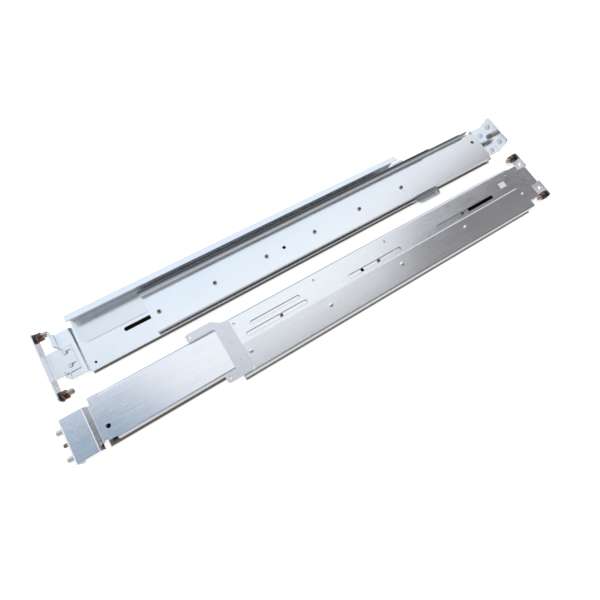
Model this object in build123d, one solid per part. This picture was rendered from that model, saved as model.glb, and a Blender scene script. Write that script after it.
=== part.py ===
"""A pair of length-adjustable rack rails in zinc-plated sheet steel, lying side by side on a flat surface.

Each rail is an outer channel with a spring-loaded front clamp, and an inner channel that slides in it and
ends in the rear ear. The pair is handed: the right rail is the left one turned inside out through a point.

Rail frame: +X runs to the front clamp, +Z is the side that faces the equipment, Y is across the rail.
Part frame: the left rail lies with its equipment side up, the right rail with its equipment side down.
"""
from build123d import *
import os
from math import atan2, cos, pi, sin

# Sheet and rail section
SHEET = 1.5
BEND_R = 0.8
CHANNEL_BEND_R = 2.0
RAIL_W = 74.0
RAIL_DEPTH = 18.0
FAR_FLANGE = 5.5
LIP_W = 9.0
SHEET_GAP = 0.3

# Inner rail section
INNER_NEAR_INSET = 14.0
INNER_SIDE_GAP = 0.8
INNER_DEPTH = 14.0
INNER_DEPTH_REAR = 11.0

# Lengths along the rail
OUTER_REAR_X = -166.0
JOG_FRONT_X = 331.0
JOG_RUN = 2.5
FRONT_DROP = 3.0
FRONT_PLATE = 18.0
FRONT_PLATE_NEAR_INSET = 11.5
INNER_FRONT_X = 230.0
JOG_REAR_X = -334.0
REAR_RISE = 8.0
REAR_PLATE = 27.0
REAR_PLATE_W = 52.0
REAR_CORNER_R = 5.0
INNER_FLANGE_REAR_X = -318.0
INNER_DEEP_REAR_X = -237.0
INNER_WEB_REAR_X = -331.0

# Slots, studs and holes
STUD_PITCH = 154.2
STUD_MID_X = 64.2
STUD_Y = 8.0
STUD_R = 2.3
STUD_HEAD_R = 2.8
STUD_HEAD_H = 1.0
STUD_EYE_R = 1.3
SLOT_CLEAR = 0.2
SLOT_BACK = 50.0
SLOT_AHEAD = 38.0
FRONT_SLOT_AHEAD = 59.7
SIDE_SLOT_X = -93.0
SIDE_SLOT_L = 72.0
SIDE_SLOT_W = 4.0
SIDE_SLOT_Y = 18.5
HOLE_PITCH = 117.3
HOLE_COUNT = 5
HOLE_FRONT_X = 321.8
HOLE_Y = 27.5
HOLE_R = 1.4
BUMP_AHEAD = 2.0
BUMP_Y = -12.0
BUMP_R = 3.2
BUMP_H = 0.5
VIEW_HOLE_R = 2.4
VIEW_HOLE_BACK = 27.5
TOOL_HOLE_X = -322.0
TOOL_HOLE_Y = -5.0
TOOL_HOLE_R = 2.7
RELIEF_R = 3.0

# Pressed band that slopes towards the near flange
BAND_H = 0.8
BAND_EDGE = 1.2
BAND_NEAR_INSET = 3.0
BAND_FAR_Y = 1.0
BAND_FRONT_X = 327.0
BAND_END_R = 9.0

# Fork plate riveted over the rear end of the outer rail
FORK_LAP = 15.0
FORK_OVERHANG = 5.0
FORK_FAR_OUT = 7.0
FORK_FINGER_W = 10.5
FORK_FAR_REACH = 40.0
FORK_NEAR_REACH = 21.0
FORK_NEAR_INSET = 3.5
FORK_TIP_R = 3.5
FORK_INNER_R = 3.0
FORK_RIVET_IN = 5.5
FORK_RIVET_YS = (-16.0, 8.0, 29.0)
RIVET_R = 1.6
RIVET_HEAD_R = 2.8
RIVET_HEAD_H = 0.8

# Front clamp
STUD_SPAN = 76.2
CLAMP_SHIFT_Y = 10.0
BAR_OVER = 5.5
BAR_TOP = 15.4
BAR_FOOT = 0.3
BAR_END_R = 3.0
JAW = 15.5
TONGUE_W = 32.0
TONGUE_MARGIN = 1.5
TONGUE_SIDE_GAP = 0.8
CLAMP_TRAVEL = 6.0
GUIDE_X = 346.5
GUIDE_SPAN = 17.0
GUIDE_R = 1.5
GUIDE_HEAD_R = 2.4
BAR_HOLE_SPAN = 48.4
BAR_HOLE_R = 2.5
FRONT_STUD_Z = 7.6
FRONT_STUD_R = 3.2
FRONT_STUD_LEN = 15.0
STUD_NOSE = 1.2
NOSE_LEN = 6.0
STUD_BASE_R = 3.6
STUD_TAIL_R = 2.5
COLLAR_R = 5.8
COLLAR_T = 1.6
COIL_R = 4.7
COIL_WIRE = 0.7
COIL_TURNS = 3
COIL_PITCH = 1.9
TAIL_HEAD_R = 4.2
TAIL_HEAD_T = 1.4

# Rear ear
REAR_STUD_SPAN = 31.75
REAR_STUD_Z = 12.0
REAR_STUD_R = 3.2
REAR_STUD_LEN = 10.0
REAR_TAIL_R = 3.5
REAR_HEAD_R = 4.3
REAR_HEAD_T = 1.2
SLEEVE_R = 4.2
SLEEVE_LEN = 8.0
PLUNGER_R = 2.4
PLUNGER_OUT = 8.0
PLUNGER_CLEAR = 0.05
KNOB_R = 3.8
KNOB_LEN = 4.0
KNOB_GAP = 0.3

# Blank label
LABEL_X = 305.0
LABEL_Y = 16.0
LABEL_L = 12.0
LABEL_W = 9.0
LABEL_T = 0.15

# Pair on the table
PAIR_PITCH = 98.0
RIGHT_PUSHED_IN = 14.0

# Heights and places that follow from the sizes above
WEB_TOP = RAIL_DEPTH
INNER_TOP = WEB_TOP - SHEET - SHEET_GAP
REAR_TOP = INNER_TOP + REAR_RISE
FRONT_TOP = WEB_TOP - FRONT_DROP
NEAR_Y = -RAIL_W / 2
FAR_Y = RAIL_W / 2
INNER_NEAR_Y = NEAR_Y + INNER_NEAR_INSET
INNER_FAR_Y = FAR_Y - SHEET - INNER_SIDE_GAP
EAR_OUT_X = JOG_FRONT_X + JOG_RUN + FRONT_PLATE
BAR_IN_X = EAR_OUT_X + JAW
REAR_EAR_X = JOG_REAR_X - JOG_RUN - REAR_PLATE
TONGUE_TOP = FRONT_TOP - SHEET - SHEET_GAP
TONGUE_REAR_X = GUIDE_X - CLAMP_TRAVEL - GUIDE_R - SLOT_CLEAR - TONGUE_MARGIN
CHANNEL_CORNER = SHEET + CHANNEL_BEND_R
FORK_FRONT_X = OUTER_REAR_X + FORK_LAP
FORK_ROOT_X = OUTER_REAR_X - FORK_OVERHANG
FORK_FAR_TIP_X = OUTER_REAR_X - FORK_FAR_REACH
FORK_NEAR_TIP_X = OUTER_REAR_X - FORK_NEAR_REACH
FORK_RIVET_X = OUTER_REAR_X + FORK_RIVET_IN
PAIR_TOP = REAR_TOP
THROUGH = 60.0


def side_line(points, offset):
    """Points of a polyline moved sideways by offset, with mitred corners."""
    moved = []
    for i, (px, py) in enumerate(points):
        before = points[max(i - 1, 0)]
        after = points[min(i + 1, len(points) - 1)]
        first = atan2(py - before[1], px - before[0]) if i else None
        last = atan2(after[1] - py, after[0] - px) if i < len(points) - 1 else None
        first = last if first is None else first
        last = first if last is None else last
        middle = (first + last) / 2 if abs(last - first) <= pi else (first + last) / 2 + pi
        reach = offset / cos((last - first) / 2)
        moved.append((px - sin(middle) * abs(reach) * (1 if offset > 0 else -1),
                      py + cos(middle) * abs(reach) * (1 if offset > 0 else -1)))
    return moved


def turn_signs(points):
    """Plus one for each corner that turns left, minus one for each that turns right."""
    signs = []
    for a, b, c in zip(points, points[1:], points[2:]):
        cross = (b[0] - a[0]) * (c[1] - b[1]) - (b[1] - a[1]) * (c[0] - b[0])
        signs.append(1 if cross > 0 else -1)
    return signs


def bent_face(points, plane, radius):
    """Face of a sheet of the standard thickness, bent along its middle line's points."""
    left = side_line(points, SHEET / 2)
    right = side_line(points, -SHEET / 2)
    signs = turn_signs(points)
    tight, wide = radius, radius + SHEET
    left_line = FilletPolyline(*left, radius=[tight if s > 0 else wide for s in signs])
    right_line = FilletPolyline(*right, radius=[wide if s > 0 else tight for s in signs])
    caps = [Line(left[0], right[0]), Line(left[-1], right[-1])]
    face = make_face(left_line.edges() + right_line.edges() + caps)
    return plane * face


def bent_along_x(points, x_from, x_to):
    """Sheet with a cross-section given as (y, z) points, from x_from to x_to."""
    plane = Plane(origin=(x_from, 0, 0), x_dir=(0, 1, 0), z_dir=(1, 0, 0))
    return extrude(bent_face(points, plane, CHANNEL_BEND_R), amount=x_to - x_from, dir=(1, 0, 0))


def bent_along_y(points, y_from, y_to):
    """Sheet with a lengthwise profile given as (x, z) points, from y_from to y_to."""
    plane = Plane(origin=(0, y_from, 0), x_dir=(1, 0, 0), z_dir=(0, -1, 0))
    return extrude(bent_face(points, plane, BEND_R), amount=y_to - y_from, dir=(0, 1, 0))


def block(x_range, y_range, z_range):
    """Box between the given limits."""
    centre = [(lo + hi) / 2 for lo, hi in (x_range, y_range, z_range)]
    size = [hi - lo for lo, hi in (x_range, y_range, z_range)]
    return Pos(*centre) * Box(*size)


def upright(x, y, z_from, z_to, radius):
    """Cylinder along Z."""
    return Pos(x, y, (z_from + z_to) / 2) * Cylinder(radius, z_to - z_from)


def lengthwise(x_from, x_to, y, z, radius):
    """Cylinder along X."""
    return Pos((x_from + x_to) / 2, y, z) * Rot(0, 90, 0) * Cylinder(radius, x_to - x_from)


def slot_cut(x_from, x_to, y, width):
    """Tool that cuts a round-ended slot right through, standing along Z."""
    shape = SlotOverall(x_to - x_from, width)
    return Pos((x_from + x_to) / 2, y, -THROUGH / 2) * extrude(shape, amount=THROUGH)


def sunk_head(x, y, top, radius, head_radius):
    """Flush countersunk rivet head, which fills a sheet's thickness."""
    return Pos(x, y, top - SHEET / 2) * Cone(radius, head_radius, SHEET)


def stud_places(shift):
    """The three studs' places along the rail, for an inner rail pushed in by shift."""
    return [STUD_MID_X + shift + i * STUD_PITCH for i in (-1, 0, 1)]


def band_rise(y):
    """Height of the band's sloping face over the web."""
    y_near = NEAR_Y + BAND_NEAR_INSET
    return BAND_H * (y - y_near) / (BAND_FAR_Y - BAND_EDGE - y_near)


def pressed_band():
    """The raised band of the outer web: a long wedge with round front corners."""
    y_near = NEAR_Y + BAND_NEAR_INSET
    length = BAND_FRONT_X - FORK_FRONT_X
    foot = Rectangle(length, BAND_FAR_Y - y_near)
    foot = fillet(foot.vertices().group_by(Axis.X)[-1], BAND_END_R)
    place = Pos((BAND_FRONT_X + FORK_FRONT_X) / 2, (BAND_FAR_Y + y_near) / 2, 0)
    slope = Polyline((y_near, 0), (BAND_FAR_Y - BAND_EDGE, BAND_H), (BAND_FAR_Y, 0), close=True)
    plane = Plane(origin=(FORK_FRONT_X, 0, 0), x_dir=(0, 1, 0), z_dir=(1, 0, 0))
    wedge = extrude(plane * make_face(slope), amount=length, dir=(1, 0, 0))
    return wedge & extrude(place * foot, amount=BAND_H)


def outer_section():
    """Middle line of the outer channel: lip, near flange, web and short far flange."""
    half = SHEET / 2
    low, high = half, WEB_TOP - half
    return [(NEAR_Y + LIP_W, low), (NEAR_Y + half, low), (NEAR_Y + half, high),
            (FAR_Y - half, high), (FAR_Y - half, WEB_TOP - FAR_FLANGE)]


def outer_front_profile():
    """Middle line of the outer rail's front end: web, jog, plate and ear."""
    half = SHEET / 2
    web, plate = WEB_TOP - half, FRONT_TOP - half
    return [(JOG_FRONT_X - JOG_RUN * 2, web), (JOG_FRONT_X, web), (JOG_FRONT_X + JOG_RUN, plate),
            (EAR_OUT_X - half, plate), (EAR_OUT_X - half, BAR_FOOT)]


def outer_rail():
    """Outer channel with its jogged front plate and two-legged ear, slotted for the studs."""
    body = bent_along_x(outer_section(), OUTER_REAR_X, JOG_FRONT_X - JOG_RUN)
    front = bent_along_y(outer_front_profile(), NEAR_Y + FRONT_PLATE_NEAR_INSET, FAR_Y - CHANNEL_CORNER)
    band = pressed_band()
    body = body + front + Pos(0, 0, WEB_TOP) * band
    body -= Pos(0, 0, WEB_TOP - SHEET) * band
    for x, ahead in zip(stud_places(0), (SLOT_AHEAD, SLOT_AHEAD, FRONT_SLOT_AHEAD)):
        body -= slot_cut(x - SLOT_BACK, x + ahead, STUD_Y, 2 * (STUD_R + SLOT_CLEAR))
    side = SIDE_SLOT_L / 2
    body -= slot_cut(SIDE_SLOT_X - side, SIDE_SLOT_X + side, SIDE_SLOT_Y, SIDE_SLOT_W)
    for i in range(HOLE_COUNT):
        body -= upright(HOLE_FRONT_X - i * HOLE_PITCH, HOLE_Y, -THROUGH, THROUGH, HOLE_R)
    bump_ball = (BUMP_R ** 2 + BUMP_H ** 2) / (2 * BUMP_H)
    band_top = WEB_TOP + band_rise(BUMP_Y)
    for i in range(HOLE_COUNT):
        x = HOLE_FRONT_X + BUMP_AHEAD - i * HOLE_PITCH
        ball = Pos(x, BUMP_Y, band_top + BUMP_H - bump_ball) * Sphere(bump_ball)
        body += ball & upright(x, BUMP_Y, band_top - SHEET / 2, band_top + BUMP_H, BUMP_R)
    gap = TONGUE_W / 2 + TONGUE_SIDE_GAP
    body -= block((EAR_OUT_X - SHEET - BEND_R, EAR_OUT_X + SHEET),
                  (CLAMP_SHIFT_Y - gap, CLAMP_SHIFT_Y + gap), (-1, FRONT_TOP + 1))
    for y in guide_ys():
        body -= sunk_head(GUIDE_X, y, FRONT_TOP, GUIDE_R, GUIDE_HEAD_R)
    stud_room = STUD_BASE_R + SLOT_CLEAR
    body -= lengthwise(EAR_OUT_X - SHEET - 1, EAR_OUT_X + 1, front_stud_ys()[0], FRONT_STUD_Z, stud_room)
    for y in FORK_RIVET_YS:
        body -= upright(FORK_RIVET_X, y, WEB_TOP - 2 * SHEET, THROUGH, RIVET_R)
    return body


def guide_ys():
    """Places across the rail of the two rivets that guide the clamp."""
    return [CLAMP_SHIFT_Y + side * GUIDE_SPAN / 2 for side in (-1, 1)]


def front_stud_ys():
    """Places across the rail of the two front studs."""
    return [CLAMP_SHIFT_Y + side * STUD_SPAN / 2 for side in (-1, 1)]


def rear_stud_ys():
    """Places across the rail of the two rear studs."""
    return [side * REAR_STUD_SPAN / 2 for side in (-1, 1)]


def inner_rail(shift):
    """Inner channel with its raised rear plate and ear, pushed in by shift."""
    half = SHEET / 2
    web = INNER_TOP - half
    near, far = INNER_NEAR_Y + half, INNER_FAR_Y - half
    deep, shallow = INNER_TOP - INNER_DEPTH, INNER_TOP - INNER_DEPTH_REAR
    front_section = [(near, deep), (near, web), (far, web), (far, deep)]
    rear_section = [(near, shallow), (near, web), (far, web), (far, shallow)]
    body = bent_along_x(front_section, INNER_DEEP_REAR_X, INNER_FRONT_X)
    body += bent_along_x(rear_section, INNER_FLANGE_REAR_X, INNER_DEEP_REAR_X)
    body += block((INNER_WEB_REAR_X, INNER_FLANGE_REAR_X), (0, INNER_FAR_Y), (INNER_TOP - SHEET, INNER_TOP))
    plate = REAR_TOP - half
    rear = [(INNER_FLANGE_REAR_X + SHEET, web), (JOG_REAR_X, web), (JOG_REAR_X - JOG_RUN, plate),
            (REAR_EAR_X + half, plate), (REAR_EAR_X + half, BAR_FOOT)]
    tail = bent_along_y(rear, -REAR_PLATE_W / 2, REAR_PLATE_W / 2)
    ear_range = (REAR_EAR_X - 1, REAR_EAR_X + SHEET + 1)
    corner = block(ear_range, (-REAR_PLATE_W, REAR_PLATE_W), (0, REAR_CORNER_R * 2))
    ear_end = corner & tail
    tail -= corner
    ear_end = fillet(ear_end.edges().filter_by(Axis.X).group_by(Axis.Z)[0], REAR_CORNER_R)
    tail += ear_end
    web_end = block((JOG_REAR_X - JOG_RUN, INNER_FLANGE_REAR_X + 2 * SHEET),
                    (-REAR_PLATE_W, INNER_NEAR_Y + CHANNEL_CORNER), (INNER_TOP - SHEET - 1, INNER_TOP + 1))
    tail -= web_end & block((JOG_REAR_X, 0), (-REAR_PLATE_W, 0), (0, THROUGH))
    body += tail
    for i in range(-3, 3):
        x = STUD_MID_X + i * STUD_PITCH / 2
        body -= upright(x, STUD_Y, 0, THROUGH, STUD_R)
    body -= upright(STUD_MID_X - VIEW_HOLE_BACK, STUD_Y, 0, THROUGH, VIEW_HOLE_R)
    body -= upright(TOOL_HOLE_X, TOOL_HOLE_Y, 0, THROUGH, TOOL_HOLE_R)
    body -= upright(JOG_REAR_X + RELIEF_R + 1, INNER_NEAR_Y + CHANNEL_CORNER - 1, 0, THROUGH, RELIEF_R)
    body -= lengthwise(*ear_range, 0, REAR_STUD_Z, PLUNGER_R + PLUNGER_CLEAR)
    for y in rear_stud_ys():
        body -= lengthwise(*ear_range, y, REAR_STUD_Z, REAR_TAIL_R)
    return Pos(shift, 0, 0) * body


def slide_studs(shift):
    """Studs riveted in the inner web, which run in the outer rail's slots."""
    bottom = INNER_TOP - SHEET
    studs = []
    for x in stud_places(shift):
        shank = upright(x, STUD_Y, bottom, WEB_TOP - SHEET_GAP, STUD_R)
        shank += upright(x, STUD_Y, bottom - STUD_HEAD_H, bottom, STUD_HEAD_R)
        studs.append(shank - upright(x, STUD_Y, bottom - STUD_HEAD_H, bottom + SHEET / 2, STUD_EYE_R))
    return studs


def blind_rivets(shift):
    """Rivets between the studs, flush with the top of the inner web."""
    bottom = INNER_TOP - SHEET
    rivets = []
    for x in [place - STUD_PITCH / 2 for place in stud_places(shift)]:
        shank = upright(x, STUD_Y, bottom, INNER_TOP, STUD_R)
        shank += upright(x, STUD_Y, bottom - STUD_HEAD_H, bottom, STUD_HEAD_R)
        rivets.append(shank - upright(x, STUD_Y, bottom - STUD_HEAD_H, bottom + SHEET / 2, STUD_EYE_R))
    return rivets


def fork_plate():
    """Stamped plate whose two fingers reach back past the end of the outer rail."""
    far_out, near_out = FAR_Y + FORK_FAR_OUT, NEAR_Y + FORK_NEAR_INSET
    far_in, near_in = far_out - FORK_FINGER_W, near_out + FORK_FINGER_W
    slope = FORK_FRONT_X - FORK_ROOT_X
    outline = [(FORK_FRONT_X, FAR_Y - SHEET), (FORK_FRONT_X - slope / 2, FAR_Y), (FORK_ROOT_X, far_out),
               (FORK_FAR_TIP_X, far_out), (FORK_FAR_TIP_X, far_in), (FORK_ROOT_X, far_in),
               (FORK_ROOT_X, near_in), (FORK_NEAR_TIP_X, near_in), (FORK_NEAR_TIP_X, near_out),
               (FORK_FRONT_X - slope / 4, near_out), (FORK_FRONT_X, near_out + FORK_FINGER_W / 2)]
    face = make_face(Polyline(*outline, close=True))
    tips = [v for v in face.vertices() if v.X < FORK_ROOT_X - 1]
    face = fillet(tips, FORK_TIP_R)
    roots = [v for v in face.vertices() if abs(v.X - FORK_ROOT_X) < 0.1 and v.Y < far_out - 1]
    face = fillet(roots, FORK_INNER_R)
    plate = Pos(0, 0, WEB_TOP) * extrude(face, amount=SHEET)
    for y in FORK_RIVET_YS:
        plate -= sunk_head(FORK_RIVET_X, y, WEB_TOP + SHEET, RIVET_R, RIVET_HEAD_R)
    for x, y in ((FORK_FAR_TIP_X + FORK_FINGER_W / 2, (far_out + far_in) / 2),
                 (FORK_NEAR_TIP_X + FORK_FINGER_W / 2, (near_out + near_in) / 2)):
        plate -= upright(x, y, 0, THROUGH, HOLE_R)
    return plate


def fork_rivets():
    """Flush rivets that hold the fork plate on the outer web."""
    rivets = []
    for y in FORK_RIVET_YS:
        shank = upright(FORK_RIVET_X, y, WEB_TOP - SHEET, WEB_TOP, RIVET_R)
        rivets.append(shank + sunk_head(FORK_RIVET_X, y, WEB_TOP + SHEET, RIVET_R, RIVET_HEAD_R))
    return rivets


def clamp_bracket():
    """Front clamp: a cross bar on a tongue that slides under the front plate."""
    half = SHEET / 2
    tongue = TONGUE_TOP - half
    profile = [(TONGUE_REAR_X, tongue), (BAR_IN_X + half, tongue), (BAR_IN_X + half, BAR_FOOT)]
    bracket = bent_along_y(profile, CLAMP_SHIFT_Y - TONGUE_W / 2, CLAMP_SHIFT_Y + TONGUE_W / 2)
    reach = STUD_SPAN / 2 + BAR_OVER
    for side in (-1, 1):
        inner = CLAMP_SHIFT_Y + side * (TONGUE_W / 2 - 1)
        outer = CLAMP_SHIFT_Y + side * reach
        wing = block((BAR_IN_X, BAR_IN_X + SHEET), sorted((inner, outer)), (BAR_FOOT, BAR_TOP))
        ends = wing.edges().filter_by(Axis.X).group_by(Axis.Y)[-1 if side > 0 else 0]
        bracket += fillet(ends, BAR_END_R)
    for y in front_stud_ys():
        bracket -= lengthwise(BAR_IN_X - 1, BAR_IN_X + SHEET + 1, y, FRONT_STUD_Z, STUD_TAIL_R)
    for side in (-1, 1):
        y = CLAMP_SHIFT_Y + side * BAR_HOLE_SPAN / 2
        bracket -= lengthwise(BAR_IN_X - 1, BAR_IN_X + SHEET + 1, y, FRONT_STUD_Z, BAR_HOLE_R)
    for y in guide_ys():
        room = GUIDE_R + SLOT_CLEAR
        bracket -= slot_cut(GUIDE_X - CLAMP_TRAVEL - room, GUIDE_X + room, y, 2 * room)
    return bracket


def clamp_guides():
    """Rivets in the front plate that carry the clamp's tongue."""
    guides = []
    below = TONGUE_TOP - SHEET - SHEET_GAP
    for y in guide_ys():
        shank = upright(GUIDE_X, y, below, FRONT_TOP - SHEET, GUIDE_R)
        foot = upright(GUIDE_X, y, below - RIVET_HEAD_H, below, GUIDE_HEAD_R)
        head = sunk_head(GUIDE_X, y, FRONT_TOP, GUIDE_R, GUIDE_HEAD_R)
        guides.append(foot + shank + head)
    return guides


def front_studs():
    """Rack studs riveted in the clamp bar, pointing back through the post."""
    studs = []
    for y in front_stud_ys():
        tip = BAR_IN_X - FRONT_STUD_LEN
        nose = lengthwise(tip, tip + NOSE_LEN, y, FRONT_STUD_Z, FRONT_STUD_R)
        nose = chamfer(nose.edges().group_by(Axis.X)[0], STUD_NOSE)
        shank = nose + lengthwise(tip + NOSE_LEN, BAR_IN_X, y, FRONT_STUD_Z, STUD_BASE_R)
        outer = BAR_IN_X + SHEET
        shank += lengthwise(BAR_IN_X, outer, y, FRONT_STUD_Z, STUD_TAIL_R)
        head = lengthwise(outer, outer + TAIL_HEAD_T, y, FRONT_STUD_Z, TAIL_HEAD_R)
        head = fillet(head.edges().group_by(Axis.X)[-1], TAIL_HEAD_T * 0.7)
        studs.append(shank + head)
    return studs


def coil_start():
    """Place of the collar's front face, which the coil rests on."""
    return BAR_IN_X - COLLAR_T


def stud_collars():
    """Dark washers against the clamp bar."""
    collars = []
    for y in front_stud_ys():
        ring = lengthwise(coil_start(), BAR_IN_X, y, FRONT_STUD_Z, COLLAR_R)
        ring -= lengthwise(coil_start() - 1, BAR_IN_X + 1, y, FRONT_STUD_Z, STUD_BASE_R + PLUNGER_CLEAR)
        collars.append(ring)
    return collars


def stud_coils():
    """Short coil springs round the studs, which push the post back."""
    coils = []
    height = COIL_TURNS * COIL_PITCH
    path = Helix(pitch=COIL_PITCH, height=height, radius=COIL_R)
    wire = Plane(origin=path @ 0, z_dir=path % 0) * Circle(COIL_WIRE)
    coil = sweep(wire, path)
    end = coil_start() - COIL_WIRE - SHEET_GAP
    for y in front_stud_ys():
        coils.append(Pos(end - height, y, FRONT_STUD_Z) * Rot(0, 90, 0) * coil)
    return coils


def rear_studs(shift):
    """Guide studs riveted in the rear ear."""
    studs = []
    inside = REAR_EAR_X + SHEET
    for y in rear_stud_ys():
        shank = lengthwise(REAR_EAR_X - REAR_STUD_LEN, REAR_EAR_X, y, REAR_STUD_Z, REAR_STUD_R)
        shank = chamfer(shank.edges().group_by(Axis.X)[0], STUD_NOSE)
        shank += lengthwise(REAR_EAR_X, inside, y, REAR_STUD_Z, REAR_TAIL_R)
        head = lengthwise(inside, inside + REAR_HEAD_T, y, REAR_STUD_Z, REAR_HEAD_R)
        head = fillet(head.edges().group_by(Axis.X)[-1], REAR_HEAD_T * 0.7)
        studs.append(Pos(shift, 0, 0) * (shank + head))
    return studs


def plunger_sleeve(shift):
    """Sleeve on the inside of the rear ear that guides the lock plunger."""
    inside = REAR_EAR_X + SHEET
    sleeve = lengthwise(inside, inside + SLEEVE_LEN, 0, REAR_STUD_Z, SLEEVE_R)
    sleeve = fillet(sleeve.edges().group_by(Axis.X)[-1], COIL_WIRE)
    bore = lengthwise(inside - 1, inside + SLEEVE_LEN + 1, 0, REAR_STUD_Z, PLUNGER_R + PLUNGER_CLEAR)
    return Pos(shift, 0, 0) * (sleeve - bore)


def lock_plunger(shift):
    """Pin that locks the rear ear to the post, with its pull knob."""
    inside = REAR_EAR_X + SHEET + SLEEVE_LEN + KNOB_GAP
    pin = lengthwise(REAR_EAR_X - PLUNGER_OUT, inside, 0, REAR_STUD_Z, PLUNGER_R)
    pin = chamfer(pin.edges().group_by(Axis.X)[0], PLUNGER_R / 3)
    knob = lengthwise(inside, inside + KNOB_LEN, 0, REAR_STUD_Z, KNOB_R)
    knob = fillet(knob.edges().group_by(Axis.X)[-1], KNOB_R / 4)
    return Pos(shift, 0, 0) * (pin + knob)


def blank_label():
    """Small bare sticker on the outer web."""
    sticker = Rectangle(LABEL_L, LABEL_W)
    return Pos(LABEL_X, LABEL_Y, WEB_TOP) * extrude(sticker, amount=LABEL_T)


def rail_nodes(shift):
    """Every piece of one rail, by name, with the inner rail pushed in by shift."""
    return {
        "outer_rail": outer_rail(),
        "inner_rail": inner_rail(shift),
        "slide_studs": slide_studs(shift),
        "inner_rivets": blind_rivets(shift),
        "fork_plate": fork_plate(),
        "fork_rivets": fork_rivets(),
        "clamp_bracket": clamp_bracket(),
        "clamp_guide_rivets": clamp_guides(),
        "front_studs": front_studs(),
        "stud_collars": stud_collars(),
        "stud_coil_springs": stud_coils(),
        "rear_studs": rear_studs(shift),
        "plunger_sleeve": plunger_sleeve(shift),
        "lock_plunger": lock_plunger(shift),
    }


def as_list(shapes):
    """One shape or a list of shapes, as a list."""
    return shapes if isinstance(shapes, list) else [shapes]


def place_left(shape):
    """Left rail: equipment side up, on the near side of the table."""
    return Pos(0, -PAIR_PITCH / 2, 0) * shape


def place_right(shape):
    """Right rail: the left one through a point, so that it lies equipment side down."""
    turned = shape.mirror(Plane.XY).rotate(Axis.Z, 180)
    return Pos(RIGHT_PUSHED_IN, PAIR_PITCH / 2, PAIR_TOP) * turned


def main():
    os.makedirs("parts", exist_ok=True)
    sides = (("left", place_left, rail_nodes(0)), ("right", place_right, rail_nodes(RIGHT_PUSHED_IN)))
    for side, place, nodes in sides:
        for name, shapes in nodes.items():
            solids = [s for shape in as_list(shapes) for s in place(shape).solids()]
            export_step(Compound(children=solids), f"parts/{side}_{name}.step")
    label = place_left(blank_label())
    export_step(Compound(children=label.solids()), "parts/left_label.step")


main()
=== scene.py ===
"""Finish, light and camera for a pair of rack mounting rails in zinc-plated sheet steel.

The rails lie side by side along X: the left one shows its outer web, the right one its open channel.
Every length here is in metres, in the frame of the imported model.
"""
from math import cos, radians, sin

import bpy
from mathutils import Matrix, Vector


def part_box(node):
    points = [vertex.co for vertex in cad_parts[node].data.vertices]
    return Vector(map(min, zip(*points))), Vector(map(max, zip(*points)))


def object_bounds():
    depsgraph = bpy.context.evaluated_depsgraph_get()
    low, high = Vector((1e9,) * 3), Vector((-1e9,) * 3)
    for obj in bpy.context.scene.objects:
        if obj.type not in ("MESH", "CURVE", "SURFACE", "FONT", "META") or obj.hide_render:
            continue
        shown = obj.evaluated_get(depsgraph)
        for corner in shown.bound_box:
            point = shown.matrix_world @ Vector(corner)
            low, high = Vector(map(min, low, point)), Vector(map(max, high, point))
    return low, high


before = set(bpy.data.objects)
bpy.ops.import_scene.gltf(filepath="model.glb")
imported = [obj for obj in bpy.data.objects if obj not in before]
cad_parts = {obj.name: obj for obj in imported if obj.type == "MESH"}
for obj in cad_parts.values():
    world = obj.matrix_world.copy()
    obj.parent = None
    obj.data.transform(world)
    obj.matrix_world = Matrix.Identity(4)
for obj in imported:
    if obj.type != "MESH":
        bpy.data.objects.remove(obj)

CAD_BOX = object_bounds()

# Photograph's frame and the camera found from the rails' own corners, studs and holes
IMAGE_SIZE = 600
FOCAL_PIXELS = 383.0
CAMERA_PLACE = Vector((-0.1799, -0.1386, 0.4838))
CAMERA_HEADING = radians(40.51)
CAMERA_DIP = radians(71.22)
CAMERA_ROLL = radians(18.75)
SENSOR = 36.0
CLIP_START = 0.01
CLIP_END = 50.0

# Lamps: place, size, power and tone of each; both aim at the middle of the pair
KEY_PLACE = (0.3, 0.5, 1.5)
KEY_SIZE = (1.4, 1.0)
KEY_POWER = 6.0
KEY_TONE = (1.0, 0.985, 0.96)
FILL_PLACE = (-0.9, -0.8, 1.2)
FILL_SIZE = (1.2, 1.2)
FILL_POWER = 2.0
FILL_TONE = (0.92, 0.96, 1.0)

# Floor
FLOOR_SIZE = 12.0
FLOOR_TONE = (0.86, 0.845, 0.82, 1.0)
FLOOR_GLOW = 0.62
FLOOR_MIRRORED_GLOW = 0.22
WHITE = (1.0, 1.0, 1.0, 1.0)

# Shade under the channels: its tones, how far within their outlines each starts, and its trims
FLOOR_SHADE_TONE = (0.30, 0.26, 0.23, 1.0)
FLOOR_SHADE_RIM = (-0.0015, 0.0006)
FLOOR_DEEP_TONE = (0.03, 0.026, 0.022, 1.0)
FLOOR_DEEP_RIM = (0.002, 0.006)
FLOOR_NEAR_SHADE = 0.0012
FRONT_PLATE = 0.0215
REAR_PLATE = 0.031
RAISED_FOOT = 0.0014
INNER_FOOT = 0.0026

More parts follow.
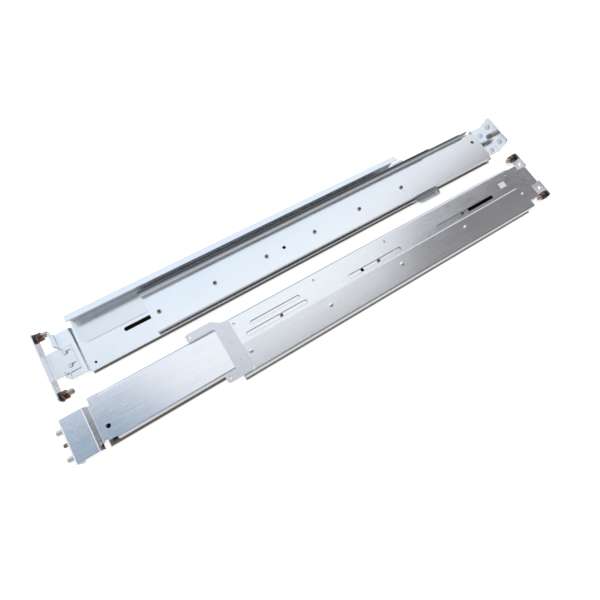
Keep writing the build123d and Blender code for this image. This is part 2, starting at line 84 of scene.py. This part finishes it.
# What the metal mirrors, by the mirrored ray's X part (along) and Y part (across).
# BOX_REAR and BOX_FRONT: where along the soft box starts to draw back, and how steeply.
ROOM_LEVEL = 0.5
BOX_RIM = 0.035
BOX_REAR = (-0.13, 2.4)
BOX_REAR_END = (-0.6, -0.45)
BOX_FRONT = (0.47, 2.2)
BOX_RIM_MOST = 0.18
BOX_SOFT_RIM = (-0.01, 0.06)
SOFT_BOX = (1.02, 1.03, 1.05, 1.0)
FAR_BOX = (0.82, 0.92, 1.02, 1.0)
FAR_BOX_RIM = (0.27, 0.38)
COOL_ROOM = (0.27, 0.36, 0.48, 1.0)
DIM_ROOM = (0.17, 0.155, 0.16, 1.0)
COOL_TO_DIM = (-0.25, 0.35)
PALE_ROOM = (0.36, 0.38, 0.41, 1.0)
DARK_ROOM = (0.16, 0.165, 0.17, 1.0)
PALE_TO_DARK = (-0.2, 0.15)
NEAR_ROOM_RIM = (0.0, 0.15)
SIDE_ROOM = (0.60, 0.61, 0.62, 1.0)
SIDE_ROOM_RIM = (0.5, 0.75)
NEAR_PANEL = (0.33, 0.325, 0.32, 1.0)
NEAR_PANEL_RIM = (-0.10, -0.04)
NEAR_PANEL_START = (0.35, 0.6)

# Edges of every piece: how far wear reaches, and on zinc sheet the painted edge highlight too, and the turn
# between normals that counts as an edge
EDGE_WEAR_AND_HIGHLIGHT = 0.0006
EDGE_TURN = (0.02, 0.25)
BEVEL_SAMPLES = 4

# Sheet steel: patterns by their scale in each direction, tones and bump depth
ROLLED_GRAIN = (14.0, 900.0, 900.0)
ZINC_MOTTLE = 420.0
ZINC_CLOUD = 16.0
ZINC_SPANGLE = 340.0
SCRATCH_GRAIN = (9.0, 260.0, 260.0)
SCRATCH_TURN = (0.0, 0.0, 0.06)
SCRATCH_WIDTH = 0.012
SCRATCH_TONE = (0.9, 0.92, 0.95, 1.0)
# Painted highlight along the zinc sheet's edges, with some wear
ZINC_EDGE_HIGHLIGHT_AND_WEAR = (0.93, 0.94, 0.95, 1.0)
# Painted shade for dark lines round the web's slots and holes and on the inner rail's far flange top
PAINTED_EDGE_SHADE = (0.16, 0.155, 0.15, 1.0)
# Painted shade on the leaning band, darker because its face mirrors a dimmer part of the room
BAND_PAINTED_SHADE = (0.42, 0.43, 0.44, 1.0)
# How far the painted shade round the slots reaches from their edges
SLOT_RIM_SHADE = 0.0016
ZINC_BUMP = 0.00003

# Where the flat half of each web ends, across the pair
WEB_FAR_RIM = (0.0155, 0.017)
WEB_NEAR_RIM = (0.0475, 0.0482)

# How far a face leans towards -Y on the stamped band, which gets a painted shade: from there, and up to
# there
BAND_LEAN = (0.008, 0.016)
BAND_LEAN_MOST = (0.04, 0.08)

# Painted shade on the cut upper edge of the right inner rail's far flange, beside the dark gap: its height,
# its front end and its side
FLANGE_TOP_SHADE_LEVEL = (0.0185, 0.0187)
FLANGE_TOP_SHADE_END = (0.30, 0.301)
FLANGE_TOP_SHADE_SIDE = (0.06, 0.061)

# Slide studs: their place across and along the pair, their pitch and the radius of the painted shade in
# their eyes
STUD_ROW = 0.041
STUD_START = 0.0642
STUD_PITCH = 0.0771
STUD_EYE_SHADE = 0.0013

# Small pieces: rings of turning, rubbed tones and bump depths
TURNED_RINGS = (3200.0, 60.0, 60.0)
TURNED_EDGE = (0.92, 0.92, 0.93, 1.0)
TURNED_BUMP = 0.00004
BRASS_EDGE = (0.85, 0.72, 0.5, 1.0)
BRASS_BUMP = 0.00003
# Painted shade in the hollow studs' eyes
EYE_PAINTED_SHADE = (0.015, 0.012, 0.012, 1.0)
WIRE_BUMP = 0.00002
OXIDE_EDGE = (0.55, 0.5, 0.46, 1.0)
OXIDE_BUMP = 0.00004
OXIDE_METAL = 0.85
LABEL_SOIL = (0.6, 0.6, 0.6, 1.0)
LABEL_BUMP = 0.00002


class Value:
    """A number socket of a node tree; the usual operators on it add Math nodes."""

    def __init__(self, shop, socket):
        self.shop = shop
        self.socket = socket

    def math(self, operation, *others, first=None):
        start = self if first is None else first
        sockets = {i: item for i, item in enumerate((start,) + others)}
        return self.shop.value("ShaderNodeMath", {"operation": operation}, sockets)

    def __add__(self, other):
        return self.math("ADD", other)

    def __radd__(self, other):
        return self.math("ADD", other)

    def __sub__(self, other):
        return self.math("SUBTRACT", other)

    def __rsub__(self, other):
        return self.math("SUBTRACT", self, first=other)

    def __mul__(self, other):
        return self.math("MULTIPLY", other)

    def __rmul__(self, other):
        return self.math("MULTIPLY", other)

    def __pow__(self, other):
        return self.math("POWER", other)

    def __abs__(self):
        return self.math("ABSOLUTE")

    def clamp(self):
        return self.shop.value("ShaderNodeClamp", {}, {"Value": self})

    def step(self, low, high):
        """0 below low, 1 above high and smooth between."""
        places = {"Value": self, "From Min": low, "From Max": high}
        return self.shop.value("ShaderNodeMapRange", {"interpolation_type": "SMOOTHSTEP"}, places)

    def least(self, other):
        return self.math("MINIMUM", other)

    def most(self, other):
        return self.math("MAXIMUM", other)


class Shop:
    """One node tree, of a material or of the world, and the few calls that fill it."""

    # Places of the colour sockets of Blender's Mix node
    MIX_SHARE = 0
    MIX_FIRST = 6
    MIX_SECOND = 7
    MIX_COLOUR = 2

    def __init__(self, owner):
        owner.use_nodes = True
        self.owner = owner
        self.tree = owner.node_tree
        self.tree.nodes.clear()

    def fill(self, socket, item):
        """Gives a socket its value or its link."""
        source = item.socket if isinstance(item, Value) else item
        if isinstance(source, bpy.types.NodeSocket):
            self.tree.links.new(source, socket)
        else:
            socket.default_value = source

    def node(self, kind, settings=None, sockets=None):
        """Adds a node: its settings first, then the value or link of each socket."""
        made = self.tree.nodes.new(kind)
        for name, setting in (settings or {}).items():
            setattr(made, name, setting)
        for name, item in (sockets or {}).items():
            self.fill(made.inputs[name], item)
        return made

    def value(self, kind, settings=None, sockets=None, output=0):
        """Adds a node and gives one of its outputs as a Value."""
        return Value(self, self.node(kind, settings, sockets).outputs[output])

    def link(self, kind, settings=None, sockets=None, output=0):
        """Adds a node and gives one of its outputs as a plain socket."""
        return self.node(kind, settings, sockets).outputs[output]

    def mix(self, share, first, second, blend="MIX"):
        """Mixes two colours; share is a Value or a number."""
        settings = {"data_type": "RGBA", "blend_type": blend}
        sockets = {self.MIX_SHARE: share, self.MIX_FIRST: first, self.MIX_SECOND: second}
        return self.link("ShaderNodeMix", settings, sockets, output=self.MIX_COLOUR)

    def place(self, scale=(1, 1, 1), turn=(0, 0, 0)):
        """Object coordinates, stretched or turned."""
        where = self.link("ShaderNodeTexCoord", output="Object")
        return self.link("ShaderNodeMapping", {}, {"Vector": where, "Scale": scale, "Rotation": turn})

    def noise(self, where, scale, detail=4.0, roughness=0.55):
        sockets = {"Vector": where, "Scale": scale, "Detail": detail, "Roughness": roughness}
        return self.value("ShaderNodeTexNoise", {}, sockets)

    def axis(self, number):
        """One of the surface's own X, Y and Z places, in metres."""
        where = self.link("ShaderNodeTexCoord", output="Object")
        return self.value("ShaderNodeSeparateXYZ", {}, {0: where}, output=number)


def new_material(name):
    return Shop(bpy.data.materials.new(name))


def rounded_normal(shop, radius):
    """The surface's normal with the sharp edges rounded off."""
    return shop.link("ShaderNodeBevel", {"samples": BEVEL_SAMPLES}, {"Radius": radius})


def edge_share(shop, radius):
    """1 along the sharp edges of a piece and 0 on its faces."""
    true_normal = shop.link("ShaderNodeNewGeometry", output="True Normal")
    normals = {0: rounded_normal(shop, radius), 1: true_normal}
    alike = shop.value("ShaderNodeVectorMath", {"operation": "DOT_PRODUCT"}, normals, output="Value")
    return (1.0 - alike).step(*EDGE_TURN)


def surface(shop, colour, roughness, height, depth, metallic=1.0, normal=None):
    """Principled shader with bump, and the material's output."""
    bump_sockets = {"Height": height, "Strength": 1.0, "Distance": depth}
    if normal is not None:
        bump_sockets["Normal"] = normal
    bump = shop.link("ShaderNodeBump", {}, bump_sockets)
    sockets = {"Base Color": colour, "Roughness": roughness, "Metallic": metallic, "Normal": bump}
    shader = shop.link("ShaderNodeBsdfPrincipled", {}, sockets)
    shop.node("ShaderNodeOutputMaterial", {}, {"Surface": shader})
    return shop.owner


def web_share(shop):
    """1 on the flat half of each web, where the slots and holes are, and 0 on its band and past it."""
    across = abs(shop.axis(1))
    return across.step(*WEB_FAR_RIM) * (1.0 - across.step(*WEB_NEAR_RIM))


def band_shade_share(shop):
    """1 on the stamped band, whose face leans slightly towards the near flange, and 0 elsewhere: where the
    painted shade goes.
    """
    normal = shop.link("ShaderNodeNewGeometry", output="True Normal")
    lean = 0.0 - shop.value("ShaderNodeSeparateXYZ", {}, {0: normal}, output=1)
    return lean.step(*BAND_LEAN) * (1.0 - lean.step(*BAND_LEAN_MOST))


def flange_top_shade_share(shop):
    """1 on the cut upper edge of the turned-over inner rail's far flange, which gets a painted shade."""
    raised = shop.axis(2).step(*FLANGE_TOP_SHADE_LEVEL)
    behind = 1.0 - shop.axis(0).step(*FLANGE_TOP_SHADE_END)
    return raised * behind * shop.axis(1).step(*FLANGE_TOP_SHADE_SIDE)


def zinc_sheet(name, tone, grey, rough, finer, slot_rim_shade=0.0, band=0.0, flange_top_shade=False):
    """Bright zinc-plated sheet: rolled grain along the rail, cloudy plating, scratches, and edges lightened
    partly by wear and partly by a painted highlight.

    finer makes one sheet's mottle and clouds a little finer than another's, so that they differ.
    """
    shop = new_material(name)
    where = shop.place()
    rolled = shop.noise(shop.place(scale=ROLLED_GRAIN), 1.0, detail=3.0)
    mottle = shop.noise(where, ZINC_MOTTLE + finer, detail=5.0, roughness=0.65)
    cloud = shop.noise(where, ZINC_CLOUD + finer / 10, detail=3.0)
    cells = {"Vector": where, "Scale": ZINC_SPANGLE}
    spangle = shop.value("ShaderNodeTexVoronoi", {"feature": "F1"}, cells, output=1)
    scratch_lines = abs(shop.noise(shop.place(scale=SCRATCH_GRAIN, turn=SCRATCH_TURN), 1.0) - 0.5)
    scratches = 1.0 - scratch_lines.step(0.0, SCRATCH_WIDTH)
    # Edge mask: on zinc sheet it carries a painted highlight as well as wear
    worn = edge_share(shop, EDGE_WEAR_AND_HIGHLIGHT)
    light = 0.42 * mottle + 0.33 * rolled + 0.25 * cloud
    plain = shop.mix(light.step(0.3, 0.7), grey, tone)
    flecked = shop.mix(0.06, plain, spangle, blend="SOFT_LIGHT")
    scratched = shop.mix(0.35 * scratches, flecked, SCRATCH_TONE)
    # Painted shade on the leaning band, at the given band share
    band_shaded = shop.mix(band * band_shade_share(shop), scratched, BAND_PAINTED_SHADE)
    # Painted highlight along every edge of the sheet, with some wear
    colour = shop.mix(0.8 * worn, band_shaded, ZINC_EDGE_HIGHLIGHT_AND_WEAR)
    # Painted shade round the slots and holes on the flat half of the web
    if slot_rim_shade:
        colour = shop.mix(0.9 * edge_share(shop, slot_rim_shade) * web_share(shop), colour, PAINTED_EDGE_SHADE)
    # Painted shade on the far flange's cut upper edge, beside the dark gap
    if flange_top_shade:
        colour = shop.mix(flange_top_shade_share(shop), colour, PAINTED_EDGE_SHADE)
    uneven = 0.16 * (mottle - 0.5) + 0.1 * (cloud - 0.5) + 0.08 * (rolled - 0.5)
    roughness = rough + uneven - 0.08 * worn
    height = 0.5 * rolled + 0.35 * mottle - 0.3 * scratches
    round_edges = rounded_normal(shop, EDGE_WEAR_AND_HIGHLIGHT / 2)
    return surface(shop, colour, roughness.clamp(), height, ZINC_BUMP, normal=round_edges)


def turned_steel(name, tone, grey, rough):
    """Turned and plated pins: fine rings round the pin and worn edges."""
    shop = new_material(name)
    rings = shop.noise(shop.place(scale=TURNED_RINGS), 1.0, detail=2.0)
    mottle = shop.noise(shop.place(), 900.0)
    worn = edge_share(shop, EDGE_WEAR_AND_HIGHLIGHT / 2)
    body = shop.mix((0.6 * mottle + 0.4 * rings).step(0.3, 0.7), grey, tone)
    colour = shop.mix(0.7 * worn, body, TURNED_EDGE)
    roughness = rough + 0.2 * (mottle - 0.5) + 0.1 * (rings - 0.5)
    return surface(shop, colour, roughness.clamp(), rings, TURNED_BUMP)


def eye_shade_share(shop):
    """1 in the eyes of the hollow slide studs, which stand in one row on each rail, where a painted shade
    goes.
    """
    along, across = shop.axis(0), shop.axis(1)
    side = across.math("SIGN")
    from_stud = (0.0 - along * side - STUD_START).math("WRAP", STUD_PITCH / 2, -STUD_PITCH / 2)
    from_row = abs(across) - STUD_ROW
    away = (from_stud * from_stud + from_row * from_row) ** 0.5
    return 1.0 - away.step(0.9 * STUD_EYE_SHADE, 1.1 * STUD_EYE_SHADE)


def passivated_brass(name, tone, grey, rough):
    """Yellow-brown passivated studs with darker patches, rubbed edges and painted shade in their eyes."""
    shop = new_material(name)
    patches = shop.noise(shop.place(), 260.0, detail=3.0)
    mottle = shop.noise(shop.place(), 1400.0)
    worn = edge_share(shop, EDGE_WEAR_AND_HIGHLIGHT / 2)
    body = shop.mix(patches.step(0.35, 0.65), grey, tone)
    rubbed = shop.mix(0.6 * worn, body, BRASS_EDGE)
    # Painted shade in the studs' hollow eyes
    colour = shop.mix(eye_shade_share(shop), rubbed, EYE_PAINTED_SHADE)
    roughness = rough + 0.25 * (mottle - 0.5)
    return surface(shop, colour, roughness.clamp(), mottle, BRASS_BUMP)


def spring_wire(name, tone, grey, rough):
    """Copper-toned drawn wire, darker where oil has dried on it."""
    shop = new_material(name)
    drawn = shop.noise(shop.place(), 700.0, detail=5.0)
    oil = shop.noise(shop.place(), 180.0, detail=2.0)
    colour = shop.mix(oil.step(0.4, 0.62), grey, tone)
    roughness = rough + 0.3 * (drawn - 0.5)
    return surface(shop, colour, roughness.clamp(), drawn, WIRE_BUMP)


def black_oxide(name, tone, grey, rough):
    """Dark washers with the oxide rubbed through at the rim."""
    shop = new_material(name)
    mottle = shop.noise(shop.place(), 800.0, detail=5.0)
    worn = edge_share(shop, EDGE_WEAR_AND_HIGHLIGHT / 2)
    body = shop.mix(mottle.step(0.3, 0.7), grey, tone)
    colour = shop.mix(worn * mottle.step(0.35, 0.6), body, OXIDE_EDGE)
    roughness = rough + 0.25 * (mottle - 0.5)
    return surface(shop, colour, roughness.clamp(), mottle, OXIDE_BUMP, metallic=OXIDE_METAL)


def label_paper(name, tone, grey, rough):
    """Bare sticker: coated paper with a faint fibre and a slightly soiled rim."""
    shop = new_material(name)
    fibre = shop.noise(shop.place(), 1800.0)
    soil = shop.noise(shop.place(), 320.0, detail=3.0)
    worn = edge_share(shop, EDGE_WEAR_AND_HIGHLIGHT)
    body = shop.mix(0.5 * fibre.step(0.4, 0.7), tone, grey)
    colour = shop.mix(0.3 * worn * soil, body, LABEL_SOIL)
    roughness = rough + 0.2 * (fibre - 0.5)
    return surface(shop, colour, roughness.clamp(), fibre, LABEL_BUMP, metallic=0.0)


def give(node, material):
    """Puts one material on all of a node."""
    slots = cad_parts[node].data.materials
    slots.clear()
    slots.append(material)


def dress_rails():
    """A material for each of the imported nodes: its lighter tone, its darker tone and its roughness."""
    web = zinc_sheet("outer_zinc", tone=(0.93, 0.955, 0.985, 1), grey=(0.87, 0.895, 0.925, 1), rough=0.22,
                     finer=0, slot_rim_shade=SLOT_RIM_SHADE, band=0.12)
    inner = zinc_sheet("inner_zinc", tone=(0.93, 0.95, 0.98, 1), grey=(0.86, 0.885, 0.92, 1), rough=0.2,
                       finer=7, flange_top_shade=True)
    stamped = zinc_sheet("stamped_zinc", tone=(0.82, 0.82, 0.87, 1), grey=(0.75, 0.75, 0.80, 1), rough=0.3,
                         finer=13)
    clamp = zinc_sheet("clamp_zinc", tone=(0.92, 0.94, 0.97, 1), grey=(0.82, 0.84, 0.87, 1), rough=0.24,
                       finer=21)
    bright = turned_steel("turned_zinc", tone=(0.66, 0.58, 0.52, 1), grey=(0.40, 0.33, 0.29, 1), rough=0.2)
    rivet = turned_steel("rivet_zinc", tone=(0.84, 0.85, 0.87, 1), grey=(0.66, 0.67, 0.70, 1), rough=0.30)
    brass = passivated_brass("brass_pin", tone=(0.46, 0.37, 0.30, 1), grey=(0.26, 0.21, 0.18, 1), rough=0.30)
    coil = spring_wire("copper_wire", tone=(0.42, 0.25, 0.17, 1), grey=(0.16, 0.09, 0.065, 1), rough=0.28)
    black = black_oxide("oxide_black", tone=(0.07, 0.06, 0.06, 1), grey=(0.03, 0.025, 0.03, 1), rough=0.35)
    paper = label_paper("label_paper", tone=(0.95, 0.95, 0.94, 1), grey=(0.88, 0.88, 0.88, 1), rough=0.55)
    kinds = {"outer_rail": web, "inner_rail": inner, "fork_plate": stamped, "clamp_bracket": clamp,
             "slide_studs": brass, "inner_rivets": brass, "fork_rivets": rivet, "clamp_guide_rivets": rivet,
             "front_studs": bright, "stud_collars": black, "stud_coil_springs": coil,
             "rear_studs": rivet, "plunger_sleeve": bright, "lock_plunger": brass, "label": paper}
    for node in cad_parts:
        give(node, kinds[node.split("_", 1)[1]])


def under_rails(shop):
    """How far a place on the floor lies within the trimmed outlines of the channels, in metres."""
    along, across = shop.axis(0), shop.axis(1)
    # Trims at the low X end, at the high X end and at each side, where a piece stands off the floor
    trims = {"left_outer_rail": (0, FRONT_PLATE, 0),
             "left_inner_rail": (REAR_PLATE, 0, INNER_FOOT),
             "right_outer_rail": (FRONT_PLATE, 0, RAISED_FOOT),
             "right_inner_rail": (0, REAR_PLATE, RAISED_FOOT)}
    within = None
    for node, (low_trim, high_trim, side_trim) in trims.items():
        low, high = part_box(node)
        from_low_end = along - (low.x + low_trim)
        from_high_end = (high.x - high_trim) - along
        from_near_side = across - (low.y + side_trim - FLOOR_NEAR_SHADE)
        from_far_side = (high.y - side_trim) - across
        inside = from_low_end.least(from_high_end).least(from_near_side).least(from_far_side)
        within = inside if within is None else within.most(inside)
    return within


def make_floor():
    """Pale floor that is white to the camera, holds the rails' shadow and has a drawn shade under them."""
    mesh = bpy.data.meshes.new("floor")
    half = FLOOR_SIZE / 2
    level = CAD_BOX[0].z
    corners = [(-half, -half, level), (half, -half, level), (half, half, level), (-half, half, level)]
    mesh.from_pydata(corners, [], [(0, 1, 2, 3)])
    floor = bpy.data.objects.new("floor", mesh)
    bpy.context.scene.collection.objects.link(floor)
    shop = new_material("floor_paper")
    rays = shop.node("ShaderNodeLightPath")
    seen = Value(shop, rays.outputs["Is Camera Ray"])
    mirrored = Value(shop, rays.outputs["Is Glossy Ray"])
    within = under_rails(shop)
    strength = FLOOR_GLOW * seen + FLOOR_MIRRORED_GLOW * mirrored
    glow = shop.link("ShaderNodeEmission", {}, {"Color": WHITE, "Strength": strength})
    pale = shop.link("ShaderNodeBsdfDiffuse", {}, {"Color": FLOOR_TONE})
    bare = shop.link("ShaderNodeAddShader", {}, {0: pale, 1: glow})
    shade = shop.link("ShaderNodeBsdfDiffuse", {}, {"Color": FLOOR_SHADE_TONE})
    deep = shop.link("ShaderNodeBsdfDiffuse", {}, {"Color": FLOOR_DEEP_TONE})
    rim = shop.link("ShaderNodeMixShader", {}, {0: within.step(*FLOOR_SHADE_RIM), 1: bare, 2: shade})
    whole = shop.link("ShaderNodeMixShader", {}, {0: within.step(*FLOOR_DEEP_RIM), 1: rim, 2: deep})
    shop.node("ShaderNodeOutputMaterial", {}, {"Surface": whole})
    mesh.materials.append(shop.owner)


def make_world():
    """White backdrop to the camera; to the metal, a wide soft box beyond the rails and a dim room."""
    world = bpy.data.worlds.new("studio")
    bpy.context.scene.world = world
    shop = Shop(world)
    rays = shop.node("ShaderNodeLightPath")
    seen = Value(shop, rays.outputs["Is Camera Ray"])
    mirrored = Value(shop, rays.outputs["Is Glossy Ray"])
    direction = shop.link("ShaderNodeTexCoord", output="Generated")
    parts = shop.node("ShaderNodeSeparateXYZ", {}, {0: direction})
    along, across = Value(shop, parts.outputs[0]), Value(shop, parts.outputs[1])
    towards_near = 0.0 - across
    rear_start, rear_slope = BOX_REAR
    front_start, front_slope = BOX_FRONT
    rear = rear_slope * (rear_start - along) * along.step(*BOX_REAR_END)
    front = front_slope * (along - front_start)
    rim = BOX_RIM + rear.most(front).most(0.0).least(BOX_RIM_MOST)
    box = (across - rim).step(*BOX_SOFT_RIM)
    far_room = shop.mix(along.step(*COOL_TO_DIM), COOL_ROOM, DIM_ROOM)
    low_panel = towards_near.step(*NEAR_PANEL_RIM) * along.step(*NEAR_PANEL_START)
    far_and_panel = shop.mix(low_panel, far_room, NEAR_PANEL)
    near_room = shop.mix(along.step(*PALE_TO_DARK), PALE_ROOM, DARK_ROOM)
    gloom = shop.mix(towards_near.step(*NEAR_ROOM_RIM), far_and_panel, near_room)
    room = shop.mix(towards_near.step(*SIDE_ROOM_RIM), gloom, SIDE_ROOM)
    panel = shop.mix(across.step(*FAR_BOX_RIM), SOFT_BOX, FAR_BOX)
    studio = shop.mix(box, room, panel)
    plain = shop.mix(mirrored, (ROOM_LEVEL, ROOM_LEVEL, ROOM_LEVEL, 1.0), studio)
    colour = shop.mix(seen, plain, WHITE)
    back = shop.link("ShaderNodeBackground", {}, {"Color": colour, "Strength": 1.0})
    shop.node("ShaderNodeOutputWorld", {}, {"Surface": back})


def add_lamp(name, place, size, power, tone):
    """A rectangular soft lamp that aims at the middle of the pair and isn't mirrored in the metal."""
    lamp = bpy.data.lights.new(name, "AREA")
    lamp.shape = "RECTANGLE"
    lamp.size, lamp.size_y = size
    lamp.energy = power
    lamp.color = tone
    holder = bpy.data.objects.new(name, lamp)
    bpy.context.scene.collection.objects.link(holder)
    holder.location = place
    holder.rotation_mode = "QUATERNION"
    holder.rotation_quaternion = (-Vector(place)).to_track_quat("-Z", "Y")
    holder.visible_glossy = False


def make_lamps():
    """One broad soft lamp over the rails and one weak fill from the rear."""
    add_lamp("key_soft", KEY_PLACE, KEY_SIZE, KEY_POWER, KEY_TONE)
    add_lamp("fill_soft", FILL_PLACE, FILL_SIZE, FILL_POWER, FILL_TONE)


def make_camera():
    """Camera at the photograph's viewing angle."""
    camera = bpy.data.cameras.new("camera")
    camera.sensor_width = SENSOR
    camera.lens = SENSOR * FOCAL_PIXELS / IMAGE_SIZE
    camera.clip_start = CLIP_START
    camera.clip_end = CLIP_END
    holder = bpy.data.objects.new("camera", camera)
    bpy.context.scene.collection.objects.link(holder)
    ahead = Vector((cos(CAMERA_DIP) * cos(CAMERA_HEADING), cos(CAMERA_DIP) * sin(CAMERA_HEADING),
                    -sin(CAMERA_DIP)))
    level = Vector((sin(CAMERA_HEADING), -cos(CAMERA_HEADING), 0.0))
    above = level.cross(ahead)
    right = level * cos(CAMERA_ROLL) + above * sin(CAMERA_ROLL)
    up = above * cos(CAMERA_ROLL) - level * sin(CAMERA_ROLL)
    axes = Matrix((right, up, -ahead)).transposed().to_4x4()
    holder.matrix_world = Matrix.Translation(CAMERA_PLACE) @ axes
    bpy.context.scene.camera = holder


bpy.context.scene.view_settings.view_transform = "Standard"
make_camera()
make_floor()
make_world()
make_lamps()
dress_rails()
